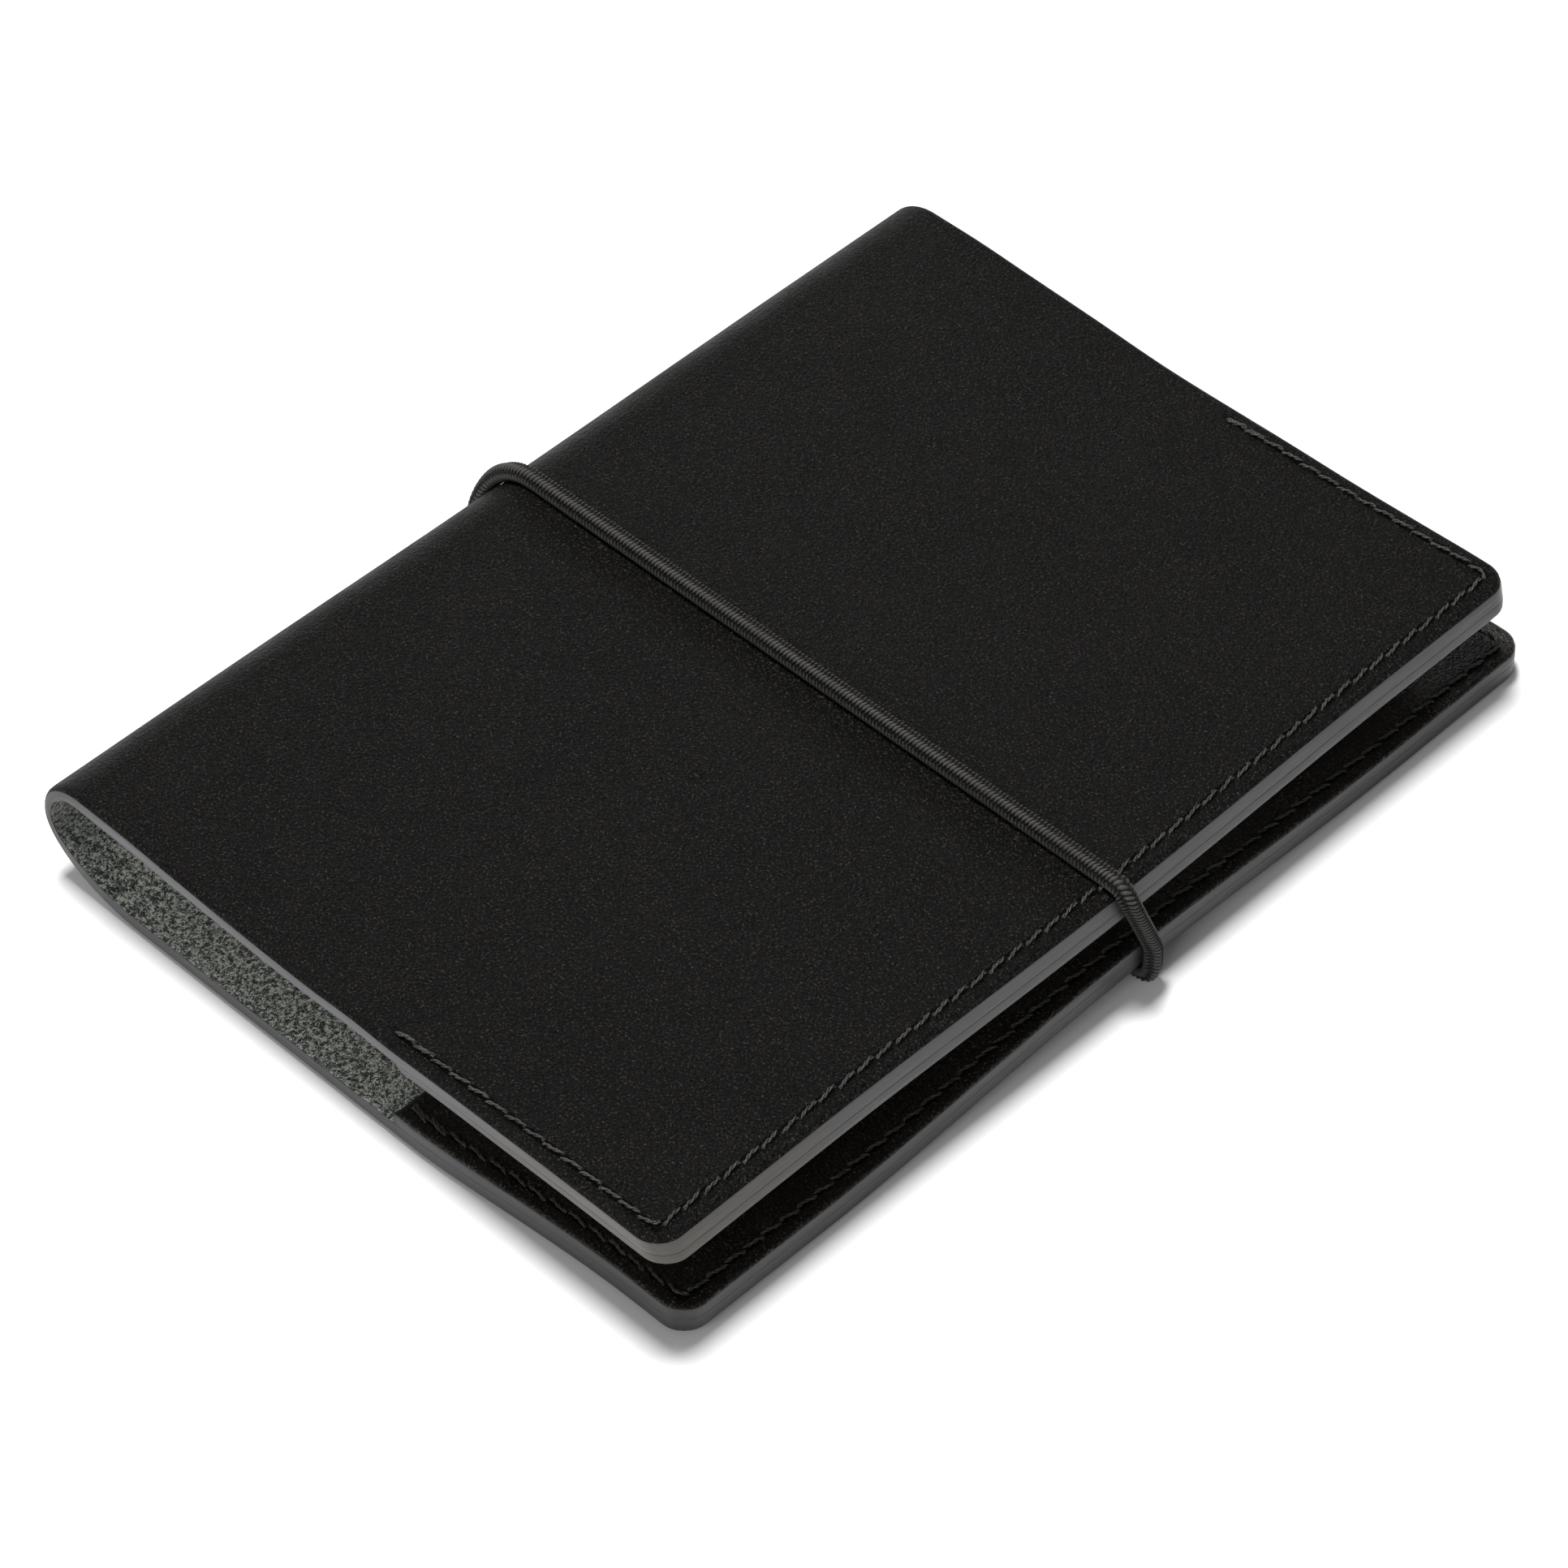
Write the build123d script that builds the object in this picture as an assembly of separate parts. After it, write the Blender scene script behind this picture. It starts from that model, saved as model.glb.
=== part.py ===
from build123d import *
import math
import os

# Pocket notebook: a one-piece leather cover folded round a stapled refill booklet and held
# shut by a round elastic loop. It lies on its back cover.
#
# Working axes, millimetres: x = 0 at the outer face of the spine, growing to the fore-edge;
# y = 0 at mid-length; z = 0 on the table. At the end everything moves by -back_width / 2 in x,
# so that the origin is the middle of the closed notebook's footprint.

# ---- driving dimensions ----
cover_length = 140.0        # near edge to far edge
back_width = 101.9          # spine to fore-edge, back cover
front_width = 100.3         # spine to fore-edge, front cover
leather = 2.4               # outer sheet
panel = 1.6                 # inner pocket panels
panel_width = 43.5          # from the fore-edge towards the spine
corner_radius = 3.5         # fore-edge corners
edge_round = 1.0            # burnished outer edge of the sheet

fold_height = 9.5           # level of the spine's upright line
lower_bend = 15.6           # reach in x of the fold's lower bend
upper_bend = 7.1            # reach in x of the fold's upper bend
hinge_gap = 0.2             # between the strips of leather that bend against each other

elastic_diameter = 2.3
elastic_offset = 1.5        # of the loop from mid-length, towards the far edge
low_touches = (270, 238, 208, 180)    # degrees round the lower bend where the elastic touches
high_touches = (180, 135, 90)         # and round the upper bend
arc_share = 0.95            # of the way to a touching point that each of its arcs takes
snug = 0.1                  # between the elastic and the leather
front_dip = 0.8             # the elastic presses the front cover in by this much
swell_half = 48.0           # the covers are flat outside this distance from mid-length

stitch_inset = 2.2          # thread line from the edge
thread_width = 0.7
thread_depth = 0.35

pocket_gap = 0.7            # room in a pocket, between the panel and the sheet
seam_width = 4.2            # stitched border that closes the pocket on three sides
pocket_lead = 2.0           # the refill's card lies flat on the sheet this far before the pocket

refill_length = 125.0
refill_width = 88.0
refill_inset = 7.0          # spine of the refill from the outer face of the cover's spine
card = 0.3                  # card covers of the refill
page_block = 1.6            # each of the two blocks of leaves
leaf = 0.2                  # a loose leaf
sheet_gap = 0.1             # air between neighbouring paper pieces
refill_seat = 0.3           # between the refill and the back pocket panel
refill_slack = 0.7          # between the refill and the front pocket panel
staple_wire = 0.5
staple_length = 12.0
staple_spacing = 70.0

over_cut = 1.0              # cutters reach past the edge they cut by this much
flat_limit = 0.9            # a face that leans less than this (as a cosine) counts as a cover's face

# ---- what follows from them ----
half_length = cover_length / 2
back_rise = elastic_diameter + snug         # the back cover arches over the elastic
stack = leather + panel
cord_radius = elastic_diameter / 2
cord_offset = cord_radius + snug
refill_floor = back_rise + stack + refill_seat
binding_clear = staple_wire / 2 + sheet_gap   # leaves stop this far from the staple's axis

lower_pages_z = refill_floor
leaf_a_z = lower_pages_z + page_block + sheet_gap
leaf_b_z = leaf_a_z + leaf + sheet_gap
upper_pages_z = leaf_b_z + leaf + sheet_gap
front_card_z = upper_pages_z + page_block + sheet_gap
binding_z = leaf_b_z - sheet_gap / 2
refill_top = front_card_z + card
closed_height = refill_top + refill_slack + stack + front_dip   # the covers close on the refill
leaf_start = refill_inset + binding_clear

os.makedirs("parts", exist_ok=True)


def swell_curve(x, half_y, z, rise):
    """Edges from -half_y to +half_y at height z: flat ends, and a smooth swell between them."""
    quarter = swell_half / 2
    flank = arc_height(rise)
    knots = [
        (-half_y, 0), (-swell_half, 0), (-quarter, rise / 2),
        (quarter, rise / 2), (swell_half, 0), (half_y, 0),
    ]
    arc_middles = {1: (-1.5 * quarter, flank), 2: (0, rise), 3: (1.5 * quarter, flank)}
    points = [Vector(x, y, z + h) for y, h in knots]
    edges = []
    for i in range(len(points) - 1):
        if i in arc_middles and rise != 0:
            y, h = arc_middles[i]
            edges.append(Edge.make_three_point_arc(points[i], Vector(x, y, z + h), points[i + 1]))
        else:
            edges.append(Edge.make_line(points[i], points[i + 1]))
    return edges


def arc_height(rise):
    """Height halfway along the arc that leaves the flat part tangentially."""
    if rise == 0:
        return 0.0
    run = swell_half / 2
    drop = abs(rise) / 2
    radius = (run * run + drop * drop) / (2 * drop)
    height = radius - math.sqrt(radius * radius - run * run / 4)
    return math.copysign(height, rise)


def swell_face(x, half_y, z, thickness, rise):
    """Cross-section of a sheet of even thickness, in the plane at x."""
    low = swell_curve(x, half_y, z, rise)
    high = swell_curve(x, half_y, z + thickness, rise)
    sides = [
        Edge.make_line(Vector(x, half_y, z), Vector(x, half_y, z + thickness)),
        Edge.make_line(Vector(x, -half_y, z + thickness), Vector(x, -half_y, z)),
    ]
    return Face(Wire(low + [sides[0]] + high + [sides[1]]))


def swell_plate(x0, x1, half_y, z, thickness, rise):
    """Sheet between x0 and x1 that swells by rise at mid-length."""
    return extrude(swell_face(x0, half_y, z, thickness, rise), amount=x1 - x0, dir=(1, 0, 0))


def rounded_blank(x0, x1, half_y, radius):
    """Block taller than the notebook with rounded fore-edge corners, to trim sheets to outline."""
    tall = 3 * closed_height
    block = Pos((x0 + x1) / 2, 0, closed_height / 2) * Box(x1 - x0, 2 * half_y, tall)
    corners = block.edges().filter_by(Axis.Z).group_by(Axis.X)[-1]
    return fillet(corners, radius)


def cover_sheet(x0, x1, z, thickness, rise):
    """Half of a cover: a swelling sheet with rounded fore-edge corners."""
    plate = swell_plate(x0, x1, half_length, z, thickness, rise)
    return plate & rounded_blank(x0, x1, half_length, corner_radius)


def round_outer_rim(sheet, x0, outward):
    """Round the rim of a cover's outer face (outward is +1 up or -1 down), but not at the fold."""
    outer_faces = [f for f in sheet.faces() if f.normal_at().Z * outward > flat_limit]
    outer_edges = [e for f in outer_faces for e in f.edges()]
    rim = [e for e in outer_edges if sum(e.is_same(other) for other in outer_edges) == 1]
    return fillet([e for e in rim if e.center().X - x0 > snug], edge_round)


def thread_outline(x0, x1):
    """U-shaped band that follows the stitch line, tall enough to cut any sheet."""
    inset = stitch_inset - thread_width / 2
    outer_y = half_length - inset
    outer = rounded_blank(x0, x1 - inset, outer_y, corner_radius - inset)
    inner_radius = max(corner_radius - inset - thread_width, thread_width / 2)
    inner_x = x1 - inset - thread_width
    inner = rounded_blank(x0 - over_cut, inner_x, outer_y - thread_width, inner_radius)
    return outer - inner


def thread_run(x0, x1, z, rise):
    """Thread lying along three edges of a cover, in a layer that starts at z."""
    layer = swell_plate(x0, x1, half_length, z, thread_depth, rise)
    return layer & thread_outline(x0, x1)


def pocket_panel(x1, z, rise, recess_above):
    """Inner panel with the shallow recess that forms its pocket, open towards the spine."""
    x0 = x1 - panel_width
    sheet = cover_sheet(x0, x1, z, panel, rise)
    recess_z = z + panel - pocket_gap if recess_above else z
    recess_y = half_length - seam_width
    recess = swell_plate(x0 - over_cut, x1 - seam_width, recess_y, recess_z, pocket_gap, rise)
    return sheet - recess


def fold_section(y, lower):
    """Cross-section of the fold's lower or upper strip in the plane at y: two quarter ellipses."""
    swell = swell_height(y)
    if lower:
        reach, drop = lower_bend, fold_height - back_rise * swell
    else:
        reach, drop = upper_bend, closed_height - fold_height - front_dip * swell
    plane = Plane(origin=(reach, y, fold_height), x_dir=(1, 0, 0), z_dir=(0, -1, 0))

    def quarter(rx, rz):
        seam_cut = math.degrees(math.asin(hinge_gap / rx))
        wall_cut = math.degrees(math.asin(hinge_gap / 2 / rz))
        if lower:
            return Edge.make_ellipse(rx, rz, plane, 180 + wall_cut, 270 - seam_cut)
        return Edge.make_ellipse(rx, rz, plane, 90 + seam_cut, 180 - wall_cut)

    outer = quarter(reach, drop)
    inner = quarter(reach - leather, drop - leather)
    first = Edge.make_line(inner @ 0, outer @ 0)
    last = Edge.make_line(outer @ 1, inner @ 1)
    return Face(Wire([first, outer, last, inner]))


def swell_height(y):
    """Share of the full swell at y: 1 at mid-length, 0 outside the swelling part.

    Two parabolas, which stay within a few microns of the arcs in swell_curve.
    """
    quarter = swell_half / 2
    distance = abs(y)
    if distance >= swell_half:
        return 0.0
    if distance <= quarter:
        return 1 - 0.5 * (distance / quarter) ** 2
    return 0.5 * ((swell_half - distance) / quarter) ** 2


def fold_strip(lower):
    """One of the two strips of leather that make the fold."""
    steps = 8                       # straight stretches across the swelling part
    inside = [swell_half * (2 * i / steps - 1) for i in range(steps + 1)]
    stations = [-half_length, *inside, half_length]
    return loft([fold_section(y, lower) for y in stations], ruled=True)


def bends_round(centre, rx, rz, degrees):
    """Corners (x, z, setback) of a path that hugs an ellipse, touching it at the given angles."""
    angles = [math.radians(d) for d in degrees]

    def touching(angle):
        return centre[0] + rx * math.cos(angle), centre[1] + rz * math.sin(angle)

    bends = []
    for a, b in zip(angles, angles[1:]):
        reach = 1 / math.cos((b - a) / 2)
        middle = (a + b) / 2
        x = centre[0] + rx * reach * math.cos(middle)
        z = centre[1] + rz * reach * math.sin(middle)
        nearest = min(math.dist((x, z), touching(a)), math.dist((x, z), touching(b)))
        bends.append((x, z, arc_share * nearest))
    return bends


def elastic_route():
    """Corners (x, z, setback) of the loop: under run, round the fold, top run, fore-edges."""
    low_drop = fold_height - back_rise + cord_offset
    high_drop = closed_height - front_dip - fold_height + cord_offset
    low_centre = (lower_bend, fold_height)
    high_centre = (upper_bend, fold_height)
    bends = bends_round(low_centre, lower_bend + cord_offset, low_drop, low_touches)
    bends += bends_round(high_centre, upper_bend + cord_offset, high_drop, high_touches)
    top = fold_height + high_drop
    panel_top = back_rise + stack
    lean = math.atan2(back_width - front_width, top - panel_top)
    edge_turn = edge_round + cord_offset
    panel_turn = cord_offset * math.tan(lean / 2)
    bends.append((front_width + cord_offset, top, edge_turn * math.tan((math.pi / 2 - lean) / 2)))
    bends.append((back_width + cord_offset, panel_top + panel_turn, panel_turn))
    bends.append((back_width + cord_offset, cord_radius, edge_turn))
    return bends


def elastic_loop():
    """Closed round cord: straight runs joined by tangent arcs, swept with its round section."""
    bends = elastic_route()
    count = len(bends)
    points = [Vector(x, elastic_offset, z) for x, z, _ in bends]
    arcs = []
    for i, (_, _, setback) in enumerate(bends):
        before = (points[i - 1] - points[i]).normalized()
        after = (points[(i + 1) % count] - points[i]).normalized()
        half_turn = math.radians(180 - before.get_angle(after)) / 2
        radius = setback / math.tan(half_turn)
        inward = (before + after).normalized() * radius * (1 / math.cos(half_turn) - 1)
        start = points[i] + before * setback
        finish = points[i] + after * setback
        arcs.append(Edge.make_three_point_arc(start, points[i] + inward, finish))
    runs = [Edge.make_line(arcs[i] @ 1, arcs[(i + 1) % count] @ 0) for i in range(count)]
    path = Wire([edge for pair in zip(arcs, runs) for edge in pair])
    section = Plane(origin=path @ 0, z_dir=path % 0) * Circle(cord_radius)
    return sweep(section, path=path), path.length


def paper(z, thickness, x0):
    """Flat rectangular paper piece from x0 to the refill's fore-edge."""
    x1 = refill_inset + refill_width
    return Pos((x0 + x1) / 2, 0, z + thickness / 2) * Box(x1 - x0, refill_length, thickness)


def refill_back_card():
    """Card cover that drops from the refill's binding and slips into the back pocket."""
    x1 = back_width - panel_width - pocket_lead
    x2 = refill_inset + refill_width
    half_y = refill_length / 2
    pocket_z = leather + (pocket_gap - card) / 2
    slope_start = swell_face(leaf_start, half_y, refill_floor - sheet_gap - card, card, 0)
    slope_end = swell_face(x1, half_y, pocket_z, card, back_rise)
    tongue = swell_plate(x1, x2, half_y, pocket_z, card, back_rise)
    return loft([slope_start, slope_end], ruled=True) + tongue


def refill_staples():
    """Two wire staples in the binding, on the axis the leaves turn about."""
    wire = Rot(90, 0, 0) * Cylinder(staple_wire / 2, staple_length)
    return [Pos(refill_inset, side * staple_spacing / 2, binding_z) * wire for side in (-1, 1)]


def write(node, shape):
    """Write one sub-part, a shape or a list of shapes, as a STEP file."""
    shapes = shape if isinstance(shape, list) else [shape]
    solids = [s for piece in shapes for s in piece.solids()]
    moved = [Pos(-back_width / 2, 0, 0) * s for s in solids]
    result = moved[0] if len(moved) == 1 else Compound(children=moved)
    result.label = node
    export_step(result, f"parts/{node}.step")


# ---- covers ----
front_top = closed_height
front_under = front_top - leather
front_panel_under = front_under - panel

back_start = lower_bend
front_start = upper_bend
back_panel_start = back_width - panel_width
front_panel_start = front_width - panel_width

back_leather = cover_sheet(back_start, back_width, 0, leather, back_rise)
back_leather = round_outer_rim(back_leather, back_start, -1)
back_outer_thread = thread_run(back_panel_start, back_width, 0, back_rise)
back_leather -= back_outer_thread

front_leather = cover_sheet(front_start, front_width, front_under, leather, -front_dip)
front_leather = round_outer_rim(front_leather, front_start, 1)
front_outer_thread = thread_run(front_panel_start, front_width, front_top - thread_depth, -front_dip)
front_leather -= front_outer_thread

back_inner_thread = thread_run(back_panel_start, back_width, stack - thread_depth, back_rise)
back_panel = pocket_panel(back_width, leather, back_rise, recess_above=False) - back_inner_thread
front_inner_thread = thread_run(front_panel_start, front_width, front_panel_under, -front_dip)
front_panel = pocket_panel(front_width, front_panel_under, -front_dip, recess_above=True)
front_panel -= front_inner_thread

loop, loop_length = elastic_loop()
section_area = math.pi * cord_radius**2
print(f"elastic loop: {loop_length:.1f} mm, {loop.volume:.1f} against {section_area * loop_length:.1f}")

write("back_cover_leather", back_leather)
write("front_cover_leather", front_leather)
write("spine_lower_leather", fold_strip(lower=True))
write("spine_upper_leather", fold_strip(lower=False))
write("back_pocket_panel", back_panel)
write("front_pocket_panel", front_panel)
write("back_stitching", [back_outer_thread, back_inner_thread])
write("front_stitching", [front_outer_thread, front_inner_thread])
write("elastic_loop", loop)

# ---- refill ----
write("refill_back_card", refill_back_card())
write("refill_front_card", paper(front_card_z, card, leaf_start))
write("refill_lower_pages", paper(lower_pages_z, page_block, leaf_start))
write("refill_upper_pages", paper(upper_pages_z, page_block, leaf_start))
write("refill_leaf_a", paper(leaf_a_z, leaf, leaf_start))
write("refill_leaf_b", paper(leaf_b_z, leaf, leaf_start))
write("refill_staples", refill_staples())
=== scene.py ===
import math

import bpy
import numpy as np
from mathutils import Matrix, Vector


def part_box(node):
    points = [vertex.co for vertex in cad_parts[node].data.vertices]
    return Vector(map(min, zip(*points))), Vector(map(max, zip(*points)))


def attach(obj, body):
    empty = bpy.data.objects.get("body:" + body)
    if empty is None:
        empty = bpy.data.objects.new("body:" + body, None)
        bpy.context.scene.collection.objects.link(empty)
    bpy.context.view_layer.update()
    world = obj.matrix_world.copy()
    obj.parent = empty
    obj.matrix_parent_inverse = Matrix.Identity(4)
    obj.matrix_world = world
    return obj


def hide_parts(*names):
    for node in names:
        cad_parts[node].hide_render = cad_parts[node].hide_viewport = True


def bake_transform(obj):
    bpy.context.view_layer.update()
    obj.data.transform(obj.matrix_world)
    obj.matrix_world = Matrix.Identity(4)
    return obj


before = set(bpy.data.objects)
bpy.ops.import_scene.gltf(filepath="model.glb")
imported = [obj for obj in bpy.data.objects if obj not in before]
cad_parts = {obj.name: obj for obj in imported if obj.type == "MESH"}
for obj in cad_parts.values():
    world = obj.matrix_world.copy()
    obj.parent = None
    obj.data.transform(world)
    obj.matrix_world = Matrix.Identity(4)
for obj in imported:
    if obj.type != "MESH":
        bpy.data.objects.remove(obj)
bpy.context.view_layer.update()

# Pocket notebook: the folded leather cover, its stitched pocket panels, the elastic loop and
# the refill. Shapes are worked out in millimetres and turned into metres in add_mesh().

MM = 0.001
random = np.random.default_rng(7)


def box_mm(node):
    low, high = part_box(node)
    return np.array(low) / MM, np.array(high) / MM


# ---- sizes from the frame ----
back_low, back_high = box_mm("back_cover_leather")
front_low, front_high = box_mm("front_cover_leather")
back_panel_low, _ = box_mm("back_pocket_panel")
front_panel_low, _ = box_mm("front_pocket_panel")
lower_low, lower_high = box_mm("spine_lower_leather")
upper_low, _ = box_mm("spine_upper_leather")
cord_low, cord_high = box_mm("elastic_loop")

half_length = back_high[1]
back_start, back_end = back_low[0], back_high[0]
front_start, front_end = front_low[0], front_high[0]
spine_x = lower_low[0]
top_z = front_high[2]
fold_z = (lower_high[2] + upper_low[2]) / 2
cord_y = (cord_low[1] + cord_high[1]) / 2
cord_radius = (cord_high[1] - cord_low[1]) / 2

# ---- details of the leather ----
sheet_thick = 2.4
back_panel_thick = 1.9
front_panel_thick = 1.6
back_pocket_gap = 0.7       # hollow of the back panel, for the card in its pocket
front_pocket_gap = 0.35
seam_width = 4.2
corner_radius = 3.5
edge_bulge = 0.02           # a cut edge stands out this much at its middle
grain_reach = 0.62          # the grain goes down over the rounded edge to this depth
floor_clear = 0.02          # height of the underside where nothing lifts it
near_curl = 0.5             # the back's near corner curls up by this much
far_reach = 0.4             # the far edge is cut this much longer
corner_set_in = 1.7         # the back lies askew: its near corner is set in by this much
corner_reach = 2.4          # and its far corner sticks out by this much
front_set_back = 0.25       # the front's fore-edge is set back by this much,
front_bow = 0.4             # less this much at the elastic
front_skew = 0.1            # and this much towards its far end
back_bow = 0.1              # the back's is set back this far at the elastic
back_skew = 0.35            # and this far towards its far end
fore_slant = 0.22           # the front's fore-edge slants out, per mm of depth
near_slant = 0.1            # and its near edge slants in
spine_thinning = 0.42       # share of the thickness that is lost at the fold
thinning_width = 11.0
press_half = 48.0           # the elastic bends the covers this far to each side
cord_top = 15.95            # outer faces beside the elastic
cord_bottom = 1.95
top_dent = 0.2              # the elastic sinks this far into the leather on top
bottom_dent = 0.4           # and this far underneath
dent_width = 1.7
stitch_inset = 2.1
stitch_pitch = 2.9
cord_y_spine = cord_y - 3.5     # the run underneath lies askew: here at the spine
cord_y_fore = cord_y + 3.5      # and here at the fore-edge


def through(x, xs, zs):
    """Smooth curve through the knots (xs, zs), level at both ends."""
    xs, zs = np.array(xs, float), np.array(zs, float)
    slope = np.gradient(zs, xs)
    slope[0] = slope[-1] = 0
    x = np.clip(x, xs[0], xs[-1])
    i = np.clip(np.searchsorted(xs, x) - 1, 0, len(xs) - 2)
    h = xs[i + 1] - xs[i]
    t = (x - xs[i]) / h
    return (
        (2 * t**3 - 3 * t**2 + 1) * zs[i] + (t**3 - 2 * t**2 + t) * h * slope[i]
        + (3 * t**2 - 2 * t**3) * zs[i + 1] + (t**3 - t**2) * h * slope[i + 1]
    )


def ease(t):
    t = np.clip(t, 0, 1)
    return t * t * (3 - 2 * t)


def press(y):
    """1 under the elastic, falling smoothly to 0 at press_half."""
    return ease(1 - np.abs(y - cord_y) / press_half)


def front_height(x, y):
    """Outer face of the front cover: it sags between the fold and the pocket."""
    knots = [front_start, -37, -27, -17, -5, 2, 7, 15, 25, 35, 44, front_end]
    near = [16.6, 16.55, 15.95, 15.5, 15.35, 15.65, 15.5, 15.8, 16.05, 16.3, 16.4, 16.4]
    far = [16.35, 16.4, 16.0, 15.6, 15.0, 15.0, 15.1, 15.3, 15.5, 15.95, 16.35, 16.4]
    share = ease((y + half_length) / (2 * half_length))
    free = through(x, knots, near) * (1 - share) + through(x, knots, far) * share
    return free + (cord_top - free) * press(y)


def back_height(x, y):
    """Underside of the back cover: arched over the elastic, its near corner curling up."""
    curl = near_curl * ease((x - 5) / 45) * ease((-y - 38) / 32)
    return floor_clear + curl + (cord_bottom - floor_clear) * press(y)


def quarter_table(rx, rz):
    """Angles at even steps of length along a quarter ellipse, and the length."""
    angle = np.linspace(0, math.pi / 2, 200)
    step = np.hypot(rx * np.sin(angle), rz * np.cos(angle))
    along = np.concatenate([[0], np.cumsum((step[1:] + step[:-1]) / 2 * np.diff(angle))])
    return angle, along / along[-1], along[-1]


upper_rx, upper_rz = front_start - spine_x, top_z - fold_z
lower_rx, lower_rz = back_start - spine_x, fold_z
upper_angle, upper_share, upper_length = quarter_table(upper_rx, upper_rz)
lower_angle, lower_share, lower_length = quarter_table(lower_rx, lower_rz)

# Along the sheet, from the front fore-edge round the fold to the back fore-edge.
fold_at = front_end - front_start
spine_at = fold_at + upper_length
back_at = spine_at + lower_length
sheet_end = back_at + back_end - back_start
blend_margin = 3.0          # the outer bends reach this far past the fold, onto the flat


def outer_face(s, y):
    """Point on the outer face at distance s along the sheet, without the elastic's dent."""
    x = np.zeros_like(s)
    z = np.zeros_like(s)
    middle = press(y)
    far = ease(y / half_length)

    part = s <= fold_at
    x[part] = front_end - s[part]
    z[part] = front_height(x[part], y[part])
    shift = front_bow * middle[part] + front_skew * far[part] - front_set_back
    x[part] += shift * ease(x[part] / front_end)

    part = (s > fold_at) & (s <= spine_at)
    angle = np.interp((s[part] - fold_at) / upper_length, upper_share, upper_angle)
    rz = front_height(np.full_like(angle, front_start), y[part]) - fold_z
    x[part] = front_start - upper_rx * np.sin(angle)
    z[part] = fold_z + rz * np.cos(angle)

    part = (s > spine_at) & (s <= back_at)
    angle = np.interp(1 - (s[part] - spine_at) / lower_length, lower_share, lower_angle)
    rz = fold_z - back_height(np.full_like(angle, back_start), y[part])
    x[part] = back_start - lower_rx * np.sin(angle)
    z[part] = fold_z - rz * np.cos(angle)

    part = s > back_at
    x[part] = back_start + s[part] - back_at
    z[part] = back_height(x[part], y[part])
    shift = back_bow * middle[part] + back_skew * far[part]
    x[part] -= shift * ease(x[part] / back_end)
    return np.stack([x, y, z], -1)


def place(s, y, depth):
    """Point at a depth below the outer face, towards the inside of the notebook. The sheet is
    thinner at the fold, its cut edges slant, and the back half lies askew."""
    s, y = np.broadcast_arrays(np.array(s, float), np.array(y, float))
    step = 0.05
    point = outer_face(s, y)
    along = outer_face(s + step, y) - outer_face(s - step, y)
    across = outer_face(s, y + step) - outer_face(s, y - step)
    normal = np.cross(across, along)
    normal /= np.linalg.norm(normal, axis=-1, keepdims=True)
    thinner = 1 - spine_thinning * np.exp(-(((s - spine_at) / thinning_width) ** 2))
    depth = np.asarray(depth, float) * thinner
    placed = point - normal * depth[..., None]
    placed[..., 0] += fore_slant * depth * ease((9 - s) / 8)
    placed[..., 1] += near_slant * depth * ease((-y - 62) / 7) * ease((fold_at - s) / 20)
    placed[..., 1] += far_reach * ease((y - 40) / 30) * ease(s / 45)
    placed[..., 1] += corner_set_in * ease((s - back_at - 46) / 32) ** 0.8 * ease((-y - 35) / 35)
    placed[..., 1] += corner_reach * ease((s - back_at - 20) / 64) * ease((y - 20) / 50)
    return placed


def cord_line(s):
    """Where the elastic runs, in y, at distance s along the sheet."""
    round_fold = ease((s - fold_at) / (back_at - fold_at))
    under = np.clip((s - back_at) / (sheet_end - back_at), 0, 1)
    return cord_y + round_fold * (cord_y_spine - cord_y) + under * (cord_y_fore - cord_y_spine)


def cord_dent(s, y):
    """How far the elastic sinks into the outer face. It goes to nothing on the lower bend."""
    turned = ease((s - spine_at) / lower_length)
    amount = np.abs(top_dent - (top_dent + bottom_dent) * turned)
    return amount * np.exp(-(((y - cord_line(s)) / dent_width) ** 2))


# ---- mesh helpers ----
def add_mesh(name, points, faces, materials, kinds=None, normals=None, fields=None):
    """Smooth mesh from points in millimetres. Fields are extra values per point."""
    mesh = bpy.data.meshes.new(name)
    mesh.from_pydata((np.asarray(points) * MM).tolist(), [], [list(map(int, f)) for f in faces])
    for material in materials:
        mesh.materials.append(material)
    if kinds is not None:
        mesh.polygons.foreach_set("material_index", np.asarray(kinds, np.int32))
    for key, values in (fields or {}).items():
        values = np.asarray(values, np.float32)
        kind = "FLOAT_VECTOR" if values.ndim == 2 else "FLOAT"
        layer = mesh.attributes.new(key, kind, "POINT")
        layer.data.foreach_set("vector" if values.ndim == 2 else "value", values.ravel())
    mesh.shade_smooth()
    if normals is not None:
        mesh.normals_split_custom_set_from_vertices(normals.tolist())
    obj = bpy.data.objects.new(name, mesh)
    bpy.context.scene.collection.objects.link(obj)
    return obj


def point_normals(points, faces):
    """Smooth normals at the points of four-cornered faces."""
    a, b, c, d = (points[faces[:, i]] for i in range(4))
    face_normal = np.cross(c - a, d - b)
    total = np.zeros_like(points)
    for i in range(4):
        np.add.at(total, faces[:, i], face_normal)
    return total / np.maximum(np.linalg.norm(total, axis=1, keepdims=True), 1e-12)


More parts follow.
